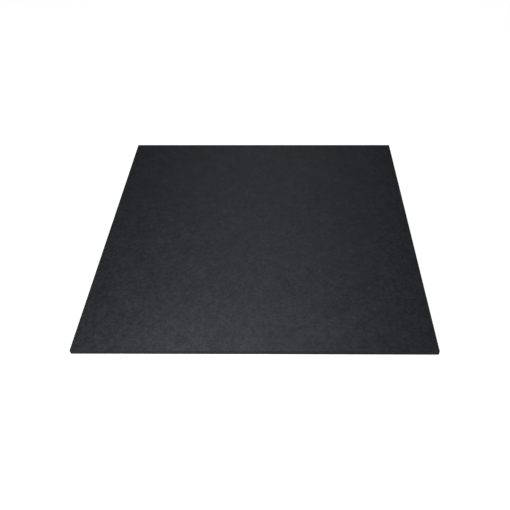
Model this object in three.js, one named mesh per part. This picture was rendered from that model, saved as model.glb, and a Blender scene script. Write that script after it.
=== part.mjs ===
// Rubber gym floor tile: one square sheet of pressed crumb rubber, moulded in one piece.
//
// Millimetres, +Z up. The tile lies flat on z = 0 with the origin at the centre of its
// underside. Its front edge faces -Y and its right edge faces +X.

import * as THREE from 'three';

// Driving dimensions
const tileWidth = 1000;
const tileDepth = 1000;
const tileThickness = 15;

// Rounding of the upright corners, seen in plan
const cornerRadius = 1.5;

// Rounding of the long edges: the mould leaves the top softer than the underside
const topEdgeRadius = 1;
const bottomEdgeRadius = 0.5;

// An inner outline that reaches past a corner's centre keeps this much rounding
const sharpestCorner = 0.05;

// Steps along each rounding, a quarter circle having twice as many
const cornerSteps = 5;
const edgeSteps = 4;

// Matt black rubber, almost neutral and a touch towards blue
const blackRubber = new THREE.MeshStandardMaterial({
  name: 'black_rubber',
  color: new THREE.Color(0.026, 0.0275, 0.031),
  roughness: 0.85,
  metalness: 0,
});

// The section of the tile's side from the underside up to the top face.
// x runs outwards from the side's flat face, so it is 0 there and negative in the roundings.
function sideSection() {
  const quarter = Math.PI / 2;
  const section = new THREE.Path();
  section.absarc(-bottomEdgeRadius, bottomEdgeRadius, bottomEdgeRadius, -quarter, 0);
  section.absarc(-topEdgeRadius, tileThickness - topEdgeRadius, topEdgeRadius, 0, quarter);
  return section.getPoints(edgeSteps);
}

// The tile's outline in plan, counter-clockwise, drawn in by `inset` on every side.
function planOutline(inset) {
  const radius = Math.max(cornerRadius - inset, sharpestCorner);
  const centreX = tileWidth / 2 - inset - radius;
  const centreY = tileDepth / 2 - inset - radius;
  const corners = [[centreX, -centreY], [centreX, centreY], [-centreX, centreY], [-centreX, -centreY]];
  const outline = new THREE.Path();
  corners.forEach(([x, y], turn) => {
    const start = (turn - 1) * Math.PI / 2;
    outline.absarc(x, y, radius, start, start + Math.PI / 2);
  });
  return outline.getPoints(cornerSteps);
}

// One closed skin: the outline is repeated at each height of the section, the repeats are
// joined into the sides, and the first and last of them are filled as the two flat faces.
function tileGeometry() {
  const rings = sideSection().map((step) => ({ height: step.y, outline: planOutline(-step.x) }));
  const ringSize = rings[0].outline.length;

  const positions = [];
  for (const { height, outline } of rings) {
    for (const point of outline) {
      positions.push(point.x, point.y, height);
    }
  }

  const triangles = [];
  for (let ring = 0; ring < rings.length - 1; ring += 1) {
    for (let step = 0; step < ringSize; step += 1) {
      const next = (step + 1) % ringSize;
      const below = ring * ringSize;
      const above = below + ringSize;
      triangles.push(below + step, below + next, above + next);
      triangles.push(below + step, above + next, above + step);
    }
  }

  const topStart = (rings.length - 1) * ringSize;
  for (const [a, b, c] of THREE.ShapeUtils.triangulateShape(rings[0].outline, [])) {
    triangles.push(c, b, a);
  }
  for (const [a, b, c] of THREE.ShapeUtils.triangulateShape(rings.at(-1).outline, [])) {
    triangles.push(topStart + a, topStart + b, topStart + c);
  }

  const geometry = new THREE.BufferGeometry();
  geometry.setAttribute('position', new THREE.Float32BufferAttribute(positions, 3));
  geometry.setIndex(triangles);
  geometry.computeVertexNormals();
  return geometry;
}

const rubberTile = new THREE.Mesh(tileGeometry(), blackRubber);
rubberTile.name = 'rubber_tile';

const part = new THREE.Group();
part.name = 'rubber_gym_floor_tile';
part.add(rubberTile);

export default part;
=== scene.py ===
"""A rubber gym floor tile: one square sheet of pressed crumb rubber, lying on a white studio floor.

The tile's skin is one closed mesh. It starts as a smooth blank with rounded corners and edges, and
Geometry Nodes press the relief of the rubber crumbs into it. Finer crumbs, the gaps between them
and their colours are in the rubber's material. Metres, +Z up, front edge towards -Y.
"""

import bpy
import numpy as np
from mathutils import Matrix, Vector
from mathutils.geometry import delaunay_2d_cdt


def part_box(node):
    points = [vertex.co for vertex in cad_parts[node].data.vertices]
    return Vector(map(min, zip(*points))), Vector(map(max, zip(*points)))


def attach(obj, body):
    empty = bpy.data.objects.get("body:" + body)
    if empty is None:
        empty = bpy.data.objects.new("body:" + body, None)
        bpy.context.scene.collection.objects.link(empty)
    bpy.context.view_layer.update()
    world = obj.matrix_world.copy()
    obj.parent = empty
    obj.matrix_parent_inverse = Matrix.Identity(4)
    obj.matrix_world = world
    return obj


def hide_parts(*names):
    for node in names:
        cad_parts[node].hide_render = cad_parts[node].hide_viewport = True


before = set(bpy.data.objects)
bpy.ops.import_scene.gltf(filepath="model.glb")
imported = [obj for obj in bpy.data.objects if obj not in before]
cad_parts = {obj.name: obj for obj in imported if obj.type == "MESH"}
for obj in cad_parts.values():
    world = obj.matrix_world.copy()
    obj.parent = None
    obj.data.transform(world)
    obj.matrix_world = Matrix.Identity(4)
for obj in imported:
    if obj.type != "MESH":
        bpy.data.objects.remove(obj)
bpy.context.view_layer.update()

MM = 0.001
SEED = 7

# The tile's node, and the roundings it was built with
TILE_NODE = "rubber_tile"
CORNER_RADIUS = 1.5 * MM
TOP_EDGE_RADIUS = 1.0 * MM
BOTTOM_EDGE_RADIUS = 0.5 * MM
LOWEST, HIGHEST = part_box(TILE_NODE)
WIDTH, DEPTH, THICKNESS = HIGHEST - LOWEST

# How finely the skin is divided
TOP_EDGE_STEPS = 4
BOTTOM_EDGE_STEPS = 2
TOP_SPACING = 3.75 * MM
SIDE_SPACING = 2.2 * MM
UNDERSIDE_SPACING = 12 * MM
JITTER_SHARE = 0.3

# A face belongs to the top or the underside where its normal points up or down by more than this
UPRIGHT_NORMAL = 0.7

# The relief that the crumbs leave in the pressed faces, all of it inwards
RELIEF = {
    "Crumb Size": 5 * MM,
    "Relief Height": 0.2 * MM,
    "Pit Depth": 0.3 * MM,
    "Pit Share": 0.04,
    "Seed": SEED,
}
SWELLS_PER_CRUMB = 0.4

# How far from a crumb's middle a pit's rim and floor lie, in crumb sizes
PIT_RIM = 0.6
PIT_FLOOR = 0.2

# The crumbs that show in the rubber's colour, gloss and bump: coarse ones bedded in finer ones
COARSE_CRUMB = 4.6 * MM
FINE_CRUMB = 2.1 * MM
COARSE_SHARE = 0.45
JAG_SIZE = 3 * MM
JAG_REACH = 1.3 * MM
JAG_DETAIL = 4.0
JAG_ROUGHNESS = 0.65
GRIT_SIZE = 0.5 * MM
GRIT_DEPTH = 0.012 * MM
GRIT_DETAIL = 2.0
PIT_SHARES = (0.02, 0.08)
GAP_RUN = 3 * MM
WIDEST_GAP = 0.16
CLOSED_GAP = 0.005
GAP_DEPTH = 0.12 * MM
CROWN_SHARE = 0.3
CROWN_HEIGHT = 0.03 * MM
CRUMB_STEP = 0.03 * MM
CRUMB_LEAN = 0.06
SIDE_BUMP = 2.0

# The rubber's colours and gloss
DARK_CRUMB = (0.0090, 0.0098, 0.0127, 1)
USUAL_CRUMB = (0.0103, 0.0113, 0.0146, 1)
PALE_CRUMB = (0.0122, 0.0134, 0.0170, 1)
# How much darker the gaps and pits are: painted shade in the recesses between crumbs
GAP_PAINTED_SHADE = 0.5
# How much darker the side walls and rounded rim are: painted shade
SIDE_PAINTED_SHADE = 0.55
FACE_ROUGHNESS = (0.59, 0.65)
SIDE_DULLNESS = 0.25
GAP_ROUGHNESS = 0.85
RUBBER_SPECULAR = 0.2

# Soft patches: the size of each kind and how much darker or lighter it is, and the patches of gloss
PATCHES = {70 * MM: 0.08, 25 * MM: 0.14, 12 * MM: 0.26}
PATCH_DETAIL = 1.0
PATCH_NOISE_RANGE = (0.3, 0.7)
GLOSS_PATCH = 12 * MM
GLOSS_SPREAD = 0.03

# The camera that took the photograph, solved from the tile's corners and edges
CAMERA_PLACE = (0.0753, -1.3881, 1.2431)
CAMERA_PITCH_DOWN = 44.28
CAMERA_YAW = 0.597
CAMERA_ROLL = -0.338
SENSOR_WIDTH_MM = 36.0
LENS_MM = 39.12
PHOTO_WIDTH_PX = 510
CENTRE_OFFSET_PX = 23.1

# Zones of the skin, each an island of its own on the UV map
TOP, FRONT, RIGHT, BACK, LEFT, UNDERSIDE = range(6)


# Helpers for node trees

def new_node(tree, kind, inputs=None, **settings):
    """Adds a node. Each input is a plain value, or the output socket that feeds it."""
    node = tree.nodes.new(kind)
    for name, value in settings.items():
        setattr(node, name, value)
    for key, value in (inputs or {}).items():
        if isinstance(value, bpy.types.NodeSocket):
            tree.links.new(value, node.inputs[key])
        else:
            node.inputs[key].default_value = value
    return node


def calculate(tree, operation, first, second=0.0):
    """The result of a Math node on two values or sockets."""
    return new_node(tree, "ShaderNodeMath", {0: first, 1: second}, operation=operation).outputs[0]


def remap(tree, value, low, high, new_low=0.0, new_high=1.0, smooth=False):
    """A value's range low to high, stretched to new_low to new_high and held there."""
    kind = "SMOOTHSTEP" if smooth else "LINEAR"
    ends = {"From Min": low, "From Max": high, "To Min": new_low, "To Max": new_high}
    node = new_node(tree, "ShaderNodeMapRange", {"Value": value, **ends}, interpolation_type=kind)
    return node.outputs["Result"]


def blend(tree, share, start, end):
    """A value that runs from start to end while a share runs from 0 to 1."""
    return remap(tree, share, 0.0, 1.0, start, end)


def combine(tree, operation, first, second):
    """The result of a Vector Math node on two vectors."""
    return new_node(tree, "ShaderNodeVectorMath", {0: first, 1: second}, operation=operation).outputs[0]


def scaled(tree, vector, factor):
    """A vector or colour times a number."""
    inputs = {0: vector, "Scale": factor}
    return new_node(tree, "ShaderNodeVectorMath", inputs, operation="SCALE").outputs[0]


def add_object(name, mesh):
    """Links a mesh to the scene as an object at the origin."""
    new_object = bpy.data.objects.new(name, mesh)
    bpy.context.scene.collection.objects.link(new_object)
    return new_object


# The camera

def make_camera():
    """The photograph's own view of the tile, from the front and above."""
    data = bpy.data.cameras.new("photo_camera")
    data.sensor_width = SENSOR_WIDTH_MM
    data.lens = LENS_MM
    data.shift_x = -CENTRE_OFFSET_PX / PHOTO_WIDTH_PX
    camera = bpy.data.objects.new("photo_camera", data)
    camera.matrix_world = (
        Matrix.Translation(CAMERA_PLACE)
        @ Matrix.Rotation(np.radians(CAMERA_YAW), 4, "Z")
        @ Matrix.Rotation(np.radians(90 - CAMERA_PITCH_DOWN), 4, "X")
        @ Matrix.Rotation(np.radians(CAMERA_ROLL), 4, "Z")
    )
    bpy.context.scene.collection.objects.link(camera)
    bpy.context.scene.camera = camera


# The tile's smooth blank

class Blank:
    """Points and faces of the blank, gathered zone by zone."""

    def __init__(self):
        self.points = []
        self.faces = []
        self.point_count = 0

    def add_points(self, points):
        """Adds rows of points and returns their numbers."""
        numbers = self.point_count + np.arange(len(points))
        self.points.append(points)
        self.point_count += len(points)
        return numbers

    def add_faces(self, faces):
        self.faces.extend(np.asarray(faces).tolist())

    def to_mesh(self, name):
        mesh = bpy.data.meshes.new(name)
        mesh.from_pydata(np.concatenate(self.points).tolist(), [], self.faces)
        mesh.update()
        return mesh


def lattice_lines(length):
    """Where the top's lattice lines cross one axis: close together on the rounded rim, then even."""
    turns = np.linspace(0, np.pi / 2, TOP_EDGE_STEPS + 1)
    rounding = TOP_EDGE_RADIUS * (1 - np.cos(turns))
    between = (TOP_EDGE_RADIUS + CORNER_RADIUS) / 2
    near = np.append(rounding, between) - length / 2
    field_end = length / 2 - CORNER_RADIUS
    cells = round(2 * field_end / TOP_SPACING)
    field = np.linspace(-field_end, field_end, cells + 1)
    return np.concatenate([near, field, -near[::-1]])


def round_corners(x, y):
    """Moves the points of a square-cornered lattice so that the squares at each corner become arcs."""
    centre_x = WIDTH / 2 - CORNER_RADIUS
    centre_y = DEPTH / 2 - CORNER_RADIUS
    over_x = np.abs(x) - centre_x
    over_y = np.abs(y) - centre_y
    corner = (over_x > 0) & (over_y > 0)
    reach = np.maximum(over_x, over_y)
    shrink = np.divide(reach, np.hypot(over_x, over_y), out=np.ones_like(x), where=corner)
    round_x = np.sign(x) * (centre_x + over_x * shrink)
    round_y = np.sign(y) * (centre_y + over_y * shrink)
    return np.where(corner, round_x, x), np.where(corner, round_y, y)


def add_top(blank, rng):
    """The top face with its rounded rim. Returns the numbers of its border, counter-clockwise."""
    x, y = np.meshgrid(lattice_lines(WIDTH), lattice_lines(DEPTH), indexing="ij")
    inset = np.minimum(WIDTH / 2 - np.abs(x), DEPTH / 2 - np.abs(y))
    over_rim = np.clip(TOP_EDGE_RADIUS - inset, 0, None)
    z = THICKNESS - TOP_EDGE_RADIUS + np.sqrt(TOP_EDGE_RADIUS**2 - over_rim**2)
    loose = (inset > CORNER_RADIUS + JITTER_SHARE * TOP_SPACING) * JITTER_SHARE * TOP_SPACING
    x = x + loose * rng.uniform(-1, 1, x.shape)
    y = y + loose * rng.uniform(-1, 1, y.shape)
    x, y = round_corners(x, y)
    number = blank.add_points(np.stack([x, y, z], axis=-1).reshape(-1, 3)).reshape(x.shape)
    corners = [number[:-1, :-1], number[1:, :-1], number[1:, 1:], number[:-1, 1:]]
    blank.add_faces(np.stack(corners, axis=-1).reshape(-1, 4))
    return np.concatenate([number[:-1, 0], number[-1, :-1], number[:0:-1, -1], number[0, :0:-1]])


def add_sides(blank, border):
    """Rings from the rim down to the underside. Returns the numbers of the lowest ring."""
    outline = blank.points[0][border]
    upper = THICKNESS - TOP_EDGE_RADIUS
    rows = round((upper - BOTTOM_EDGE_RADIUS) / SIDE_SPACING)
    rings = [(height, 0.0) for height in np.linspace(upper, BOTTOM_EDGE_RADIUS, rows + 1)[1:]]
    for turn in np.linspace(0, np.pi / 2, BOTTOM_EDGE_STEPS + 1)[1:]:
        rings.append((BOTTOM_EDGE_RADIUS * (1 - np.sin(turn)), BOTTOM_EDGE_RADIUS * (1 - np.cos(turn))))
    above = border
    for height, inset in rings:
        shrink = (1 - 2 * inset / WIDTH, 1 - 2 * inset / DEPTH, 0)
        below = blank.add_points(outline * shrink + (0, 0, height))
        blank.add_faces(np.stack([above, below, np.roll(below, -1), np.roll(above, -1)], axis=-1))
        above = below
    return above


def add_underside(blank, border, rng):
    """Loose points inside the lowest ring, joined to it and to each other by a Delaunay net."""
    def inner_lines(length):
        cells = round(length / UNDERSIDE_SPACING)
        return (np.arange(1, cells) / cells - 0.5) * length

    x, y = np.meshgrid(inner_lines(WIDTH), inner_lines(DEPTH), indexing="ij")
    loose = JITTER_SHARE * UNDERSIDE_SPACING
    x = x + loose * rng.uniform(-1, 1, x.shape)
    y = y + loose * rng.uniform(-1, 1, y.shape)
    field = np.stack([x, y, np.zeros_like(x)], axis=-1).reshape(-1, 3)
    net_points = np.concatenate([blank.points[-1], field])
    numbers = np.concatenate([border, blank.add_points(field)])
    rim_edges = [(i, (i + 1) % len(border)) for i in range(len(border))]
    flat_points = [Vector(point[:2]) for point in net_points]
    inside_only = 1
    tolerance = 0.001 * MM
    _, _, net, _, _, _ = delaunay_2d_cdt(flat_points, rim_edges, [], inside_only, tolerance)
    blank.add_faces(numbers[np.array(net)[:, ::-1]])


def mark_zones(mesh):
    """Stores each face's zone on the mesh, and how far each point belongs to a side wall."""
    faces = len(mesh.polygons)
    normals = np.empty(faces * 3)
    centres = np.empty(faces * 3)
    mesh.polygons.foreach_get("normal", normals)
    mesh.polygons.foreach_get("center", centres)
    upwards = normals.reshape(-1, 3)[:, 2]
    along_x, along_y, _ = (centres.reshape(-1, 3) / (WIDTH, DEPTH, 1)).T
    side = np.where(
        np.abs(along_y) > np.abs(along_x),
        np.where(along_y < 0, FRONT, BACK),
        np.where(along_x > 0, RIGHT, LEFT),
    )
    side_or_underside = np.where(upwards < -UPRIGHT_NORMAL, UNDERSIDE, side)
    zone = np.where(upwards > UPRIGHT_NORMAL, TOP, side_or_underside)
    mesh.attributes.new("zone", "INT", "FACE").data.foreach_set("value", zone.astype(np.int32))
    point_normals = np.empty(len(mesh.vertices) * 3)
    mesh.vertices.foreach_get("normal", point_normals)
    outwards_x, outwards_y, _ = point_normals.reshape(-1, 3).T
    side_share = np.hypot(outwards_x, outwards_y)
    mesh.attributes.new("side_share", "FLOAT", "POINT").data.foreach_set("value", side_share)


def make_blank():
    """The tile as a smooth closed mesh: a fine top, rings for its sides and a coarser underside."""
    rng = np.random.default_rng(SEED)
    blank = Blank()
    rim = add_top(blank, rng)
    foot = add_sides(blank, rim)
    add_underside(blank, foot, rng)
    mesh = blank.to_mesh("tile_blank")
    mark_zones(mesh)
    return mesh


# The relief of the crumbs

def crumb_relief_tree():
    """Geometry Nodes that press crumbs and pits into a smooth skin, always inwards.

    Returns the tree and the identifier of each named input.
    """
    tree = bpy.data.node_groups.new("crumb_relief", "GeometryNodeTree")
    kinds = {
        "Skin": "Geometry",
        "Crumb Size": "Float",
        "Relief Height": "Float",
        "Pit Depth": "Float",
        "Pit Share": "Float",
        "Seed": "Int",
        "Rubber": "Material",
    }
    identifiers = {}
    for name, kind in kinds.items():
        socket = tree.interface.new_socket(name, in_out="INPUT", socket_type="NodeSocket" + kind)
        identifiers[name] = socket.identifier
    tree.interface.new_socket("Skin", in_out="OUTPUT", socket_type="NodeSocketGeometry")
    given = new_node(tree, "NodeGroupInput").outputs

    # How far each point lies from its crumb's middle, in crumb sizes
    position = new_node(tree, "GeometryNodeInputPosition").outputs[0]
    seed_shift = new_node(tree, "ShaderNodeCombineXYZ", {"X": given["Seed"], "Y": given["Seed"]})
    place = combine(tree, "ADD", position, seed_shift.outputs[0])
    density = calculate(tree, "DIVIDE", 1.0, given["Crumb Size"])
    crumbs = new_node(tree, "ShaderNodeTexVoronoi", {"Vector": place, "Scale": density}).outputs

    # The surface sinks towards the crumbs' borders, and in swells wider than a crumb
    swell_density = calculate(tree, "MULTIPLY", density, SWELLS_PER_CRUMB)
    swells = new_node(tree, "ShaderNodeTexNoise", {"Vector": place, "Scale": swell_density}).outputs
    sum_of_both = calculate(tree, "ADD", crumbs["Distance"], swells["Fac"])
    mean = calculate(tree, "MULTIPLY", sum_of_both, 0.5)
    relief = calculate(tree, "MULTIPLY", mean, given["Relief Height"])

    # A few crumbs are missing and leave a pit
    random = new_node(tree, "FunctionNodeSeparateColor", {"Color": crumbs["Color"]}).outputs
    missing = calculate(tree, "LESS_THAN", random["Red"], given["Pit Share"])
    bowl = remap(tree, crumbs["Distance"], PIT_RIM, PIT_FLOOR, smooth=True)
    pit = calculate(tree, "MULTIPLY", calculate(tree, "MULTIPLY", missing, bowl), given["Pit Depth"])

    inwards = calculate(tree, "MULTIPLY", calculate(tree, "ADD", relief, pit), -1.0)
    normal = new_node(tree, "GeometryNodeInputNormal").outputs[0]
    offset = scaled(tree, normal, inwards)
    pressed = new_node(tree, "GeometryNodeSetPosition", {"Geometry": given["Skin"], "Offset": offset})
    smooth = new_node(tree, "GeometryNodeSetShadeSmooth", {"Geometry": pressed.outputs[0]})
    realized = new_node(tree, "GeometryNodeRealizeInstances", {"Geometry": smooth.outputs[0]})
    finished = new_node(
        tree, "GeometryNodeSetMaterial", {"Geometry": realized.outputs[0], "Material": given["Rubber"]}
    )
    new_node(tree, "NodeGroupOutput", {"Skin": finished.outputs[0]})
    return tree, identifiers


def press_relief(smooth_mesh, rubber):
    """Runs the relief tree on the blank and returns the result as a plain mesh."""
    carrier = add_object("tile_blank", smooth_mesh)
    tree, identifiers = crumb_relief_tree()
    modifier = carrier.modifiers.new("crumb_relief", "NODES")
    modifier.node_group = tree
    for name, value in {**RELIEF, "Rubber": rubber}.items():
        modifier[identifiers[name]] = value
    graph = bpy.context.evaluated_depsgraph_get()
    pressed = bpy.data.meshes.new_from_object(carrier.evaluated_get(graph))
    bpy.data.objects.remove(carrier)
    return pressed


# The UV map, with an island for each zone of the skin

MAP_NAME = "OFBake"
MAP_MARGIN = 0.01
TOP_ISLAND = 0.76
STRIP_WIDTH = 0.045
STRIP_GAP = 0.008


def lay_out_map(mesh):
    """Gives the top most of the map, the sides four strips beside it and the underside the rest."""
    loops = len(mesh.loops)
    corner_points = np.empty(loops, np.int32)
    mesh.loops.foreach_get("vertex_index", corner_points)
    coordinates = np.empty(len(mesh.vertices) * 3)
    mesh.vertices.foreach_get("co", coordinates)
    x, y, z = coordinates.reshape(-1, 3)[corner_points].T
    face_sizes = np.empty(len(mesh.polygons), np.int32)
    mesh.polygons.foreach_get("loop_total", face_sizes)
    face_zones = np.empty(len(mesh.polygons), np.int32)
    mesh.attributes["zone"].data.foreach_get("value", face_zones)
    zone = np.repeat(face_zones, face_sizes)

    across = x / WIDTH + 0.5
    along = y / DEPTH + 0.5
    u = MAP_MARGIN + across * TOP_ISLAND
    v = MAP_MARGIN + along * TOP_ISLAND
    beside_top = 2 * MAP_MARGIN + TOP_ISLAND
    for strip, side in enumerate((FRONT, RIGHT, BACK, LEFT)):
        here = zone == side
        run = across if side in (FRONT, BACK) else along
        start = beside_top + strip * (STRIP_WIDTH + STRIP_GAP)
        u[here] = start + z[here] / THICKNESS * STRIP_WIDTH
        v[here] = MAP_MARGIN + run[here] * (1 - 2 * MAP_MARGIN)
    under = zone == UNDERSIDE
    under_island = 1 - beside_top - MAP_MARGIN
    u[under] = MAP_MARGIN + across[under] * under_island
    v[under] = beside_top + along[under] * under_island
    layer = mesh.uv_layers.new(name=MAP_NAME)
    layer.data.foreach_set("uv", np.stack([u, v], axis=-1).ravel())


# The rubber

MID_COLOUR = (0.5, 0.5, 0.5)


def jagged_place(tree, position):
    """The surface's own position, wobbled so that the crumbs' borders are torn and not straight."""
    jags = new_node(
        tree,
        "ShaderNodeTexNoise",
        {"Vector": position, "Scale": 1 / JAG_SIZE, "Detail": JAG_DETAIL, "Roughness": JAG_ROUGHNESS},
    )
    centred = combine(tree, "SUBTRACT", jags.outputs["Color"], MID_COLOUR)
    return combine(tree, "ADD", position, scaled(tree, centred, 2 * JAG_REACH))


def crumbs_of_size(tree, place, size, gap_share):
    """One size of crumb. Returns its values as a dictionary of sockets:

    chance, tone and level: three random numbers for each crumb, from 0 to 1
    filled: 0 in the gaps and 1 on the crumbs
    crown: 0 at a crumb's border and 1 on its middle
    lean: the height that a crumb's face gains across it, in metres
    """
    cells = new_node(tree, "ShaderNodeTexVoronoi", {"Vector": place, "Scale": 1 / size}).outputs
    borders = new_node(
        tree, "ShaderNodeTexVoronoi", {"Vector": place, "Scale": 1 / size}, feature="DISTANCE_TO_EDGE"
    )
    from_middle = combine(tree, "SUBTRACT", place, cells["Position"])
    slope = combine(tree, "SUBTRACT", cells["Color"], MID_COLOUR)
    lean = new_node(tree, "ShaderNodeVectorMath", {0: from_middle, 1: slope}, operation="DOT_PRODUCT")
    random = new_node(tree, "ShaderNodeSeparateColor", {"Color": cells["Color"]}).outputs
    return {
        "chance": random["Red"],
        "tone": random["Green"],
        "level": random["Blue"],
        "filled": remap(tree, borders.outputs["Distance"], 0.0, gap_share, smooth=True),
        "crown": remap(tree, borders.outputs["Distance"], 0.0, CROWN_SHARE, smooth=True),
        "lean": calculate(tree, "MULTIPLY", lean.outputs["Value"], CRUMB_LEAN),
    }


def patches(tree, position, size, low, high):
    """Soft patches of one size: a value that wanders between low and high over the surface."""
    inputs = {"Vector": position, "Scale": 1 / size, "Detail": PATCH_DETAIL}
    noise = new_node(tree, "ShaderNodeTexNoise", inputs)
    return remap(tree, noise.outputs["Fac"], *PATCH_NOISE_RANGE, low, high)


def make_rubber():
    """Black bonded rubber: coarse crumbs bedded in finer ones, pressed flat, with gaps and pits."""
    material = bpy.data.materials.new("bonded_black_rubber")
    material.use_nodes = True
    tree = material.node_tree
    tree.nodes.clear()
    position = new_node(tree, "ShaderNodeTexCoord").outputs["Object"]
    side = new_node(tree, "ShaderNodeAttribute", attribute_name="side_share").outputs["Fac"]
    place = jagged_place(tree, position)

    # The press closed most of the gaps and left the rest as short ragged voids
    open_gap = patches(tree, position, GAP_RUN, -WIDEST_GAP, WIDEST_GAP)
    gap_share = calculate(tree, "MAXIMUM", open_gap, CLOSED_GAP)
    coarse = crumbs_of_size(tree, place, COARSE_CRUMB, gap_share)
    fine = crumbs_of_size(tree, place, FINE_CRUMB, gap_share)
    is_coarse = calculate(tree, "LESS_THAN", coarse["chance"], COARSE_SHARE)
    crumb = {name: blend(tree, is_coarse, fine[name], coarse[name]) for name in coarse}
    pit = calculate(tree, "LESS_THAN", fine["chance"], blend(tree, side, *PIT_SHARES))
    pit = calculate(tree, "MULTIPLY", pit, calculate(tree, "SUBTRACT", 1.0, is_coarse))
    solid = calculate(tree, "MULTIPLY", crumb["filled"], calculate(tree, "SUBTRACT", 1.0, pit))

    # Colour: each crumb a little darker or lighter, in soft patches, with painted shade in the gaps and
    # pits and on the side walls and rim
    ramp = new_node(tree, "ShaderNodeValToRGB", {"Fac": crumb["tone"]})
    stops = ramp.color_ramp.elements
    stops[0].color = DARK_CRUMB
    stops[1].color = PALE_CRUMB
    stops.new(0.5).color = USUAL_CRUMB
    # Painted shade: the gaps and pits are darkened
    gain = blend(tree, solid, GAP_PAINTED_SHADE, 1.0)
    # Painted shade: the side walls and the rounded rim are darkened
    gain = calculate(tree, "MULTIPLY", gain, blend(tree, side, 1.0, SIDE_PAINTED_SHADE))
    for size, spread in PATCHES.items():
        gain = calculate(tree, "MULTIPLY", gain, patches(tree, position, size, 1 - spread, 1 + spread))
    colour = scaled(tree, ramp.outputs["Color"], gain)

    # Gloss: the pressed faces of the crumbs are smoother than the gaps, and the sides are duller
    face_roughness = blend(tree, crumb["level"], *FACE_ROUGHNESS)
    gloss_patch = patches(tree, position, GLOSS_PATCH, -GLOSS_SPREAD, GLOSS_SPREAD)
    face_roughness = calculate(tree, "ADD", face_roughness, gloss_patch)
    duller = calculate(tree, "MULTIPLY", side, SIDE_DULLNESS)
    face_roughness = calculate(tree, "ADD", face_roughness, duller)
    roughness = blend(tree, solid, GAP_ROUGHNESS, face_roughness)

    # Bump, in metres: each crumb is a low pillow with its own level and lean, above the gaps
    grit = new_node(
        tree,
        "ShaderNodeTexNoise",
        {"Vector": position, "Scale": 1 / GRIT_SIZE, "Detail": GRIT_DETAIL},
    )
    height = crumb["lean"]
    for share, depth in (
        (solid, GAP_DEPTH),
        (crumb["crown"], CROWN_HEIGHT),
        (crumb["level"], CRUMB_STEP),
        (grit.outputs["Fac"], GRIT_DEPTH),
    ):
        height = calculate(tree, "ADD", height, calculate(tree, "MULTIPLY", share, depth))
    height = calculate(tree, "MULTIPLY", height, blend(tree, side, 1.0, SIDE_BUMP))
    bump = new_node(tree, "ShaderNodeBump", {"Height": height, "Distance": 1.0, "Strength": 1.0})

    shader = new_node(
        tree,
        "ShaderNodeBsdfPrincipled",
        {
            "Base Color": colour,
            "Roughness": roughness,
            "Normal": bump.outputs[0],
            "Specular IOR Level": RUBBER_SPECULAR,
        },
    )
    new_node(tree, "ShaderNodeOutputMaterial", {"Surface": shader.outputs[0]})
    return material


def make_tile():
    """The dressed tile, which stands for the plain solid."""
    rubber = make_rubber()
    mesh = press_relief(make_blank(), rubber)
    lay_out_map(mesh)
    tile = add_object("tile_skin", mesh)
    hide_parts(TILE_NODE)
    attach(tile, "root")


# The studio

WHITE = (1, 1, 1, 1)
FLOOR_REACH = 9.0
FLOOR_ALBEDO = 0.2
FLOOR_GLOW = 0.97


def make_floor():
    """A plain floor under the tile, which glows evenly, so that it is white with hardly a shadow."""
    corners = [(-1, -1), (1, -1), (1, 1), (-1, 1)]
    mesh = bpy.data.meshes.new("studio_floor")
    points = [(FLOOR_REACH * x, FLOOR_REACH * y, LOWEST.z) for x, y in corners]
    mesh.from_pydata(points, [], [(0, 1, 2, 3)])
    paper = bpy.data.materials.new("white_paper")
    paper.use_nodes = True
    shader = paper.node_tree.nodes["Principled BSDF"].inputs
    shader["Base Color"].default_value = (FLOOR_ALBEDO, FLOOR_ALBEDO, FLOOR_ALBEDO, 1)
    shader["Roughness"].default_value = 1.0
    shader["Specular IOR Level"].default_value = 0.0
    shader["Emission Color"].default_value = WHITE
    shader["Emission Strength"].default_value = FLOOR_GLOW
    mesh.materials.append(paper)
    add_object("studio_floor", mesh)


# Where each softbox stands, the width of its square face and its power
SOFTBOXES = {
    "front_left": {"place": (-0.17, -0.85, 0.55), "size": 0.35, "watts": 14.0},
    "near_middle": {"place": (-0.04, 0.3, 1.2), "size": 0.5, "watts": 6.5},
    "behind": {"place": (0, 1.5, 1.2), "size": 1.0, "watts": 6.8},
}
WORLD_LIGHT = 0.08
WORLD_SEEN = 1.0


def make_lights():
    """Softboxes that the camera doesn't see, aimed at the tile, and a dim world that it sees as white."""
    for name, box in SOFTBOXES.items():
        data = bpy.data.lights.new(name, "AREA")
        data.shape = "SQUARE"
        data.size = box["size"]
        data.energy = box["watts"]
        light = bpy.data.objects.new(name, data)
        light.location = box["place"]
        light.rotation_euler = (-Vector(box["place"])).to_track_quat("-Z", "Y").to_euler()
        light.visible_camera = False
        bpy.context.scene.collection.objects.link(light)
    world = bpy.data.worlds.new("studio")
    bpy.context.scene.world = world
    world.use_nodes = True
    tree = world.node_tree
    seen = new_node(tree, "ShaderNodeLightPath").outputs["Is Camera Ray"]
    strength = blend(tree, seen, WORLD_LIGHT, WORLD_SEEN)
    background = tree.nodes["Background"]
    background.inputs["Color"].default_value = WHITE
    tree.links.new(strength, background.inputs["Strength"])


make_camera()
make_tile()
make_floor()
make_lights()
bpy.context.scene.view_settings.view_transform = "Standard"
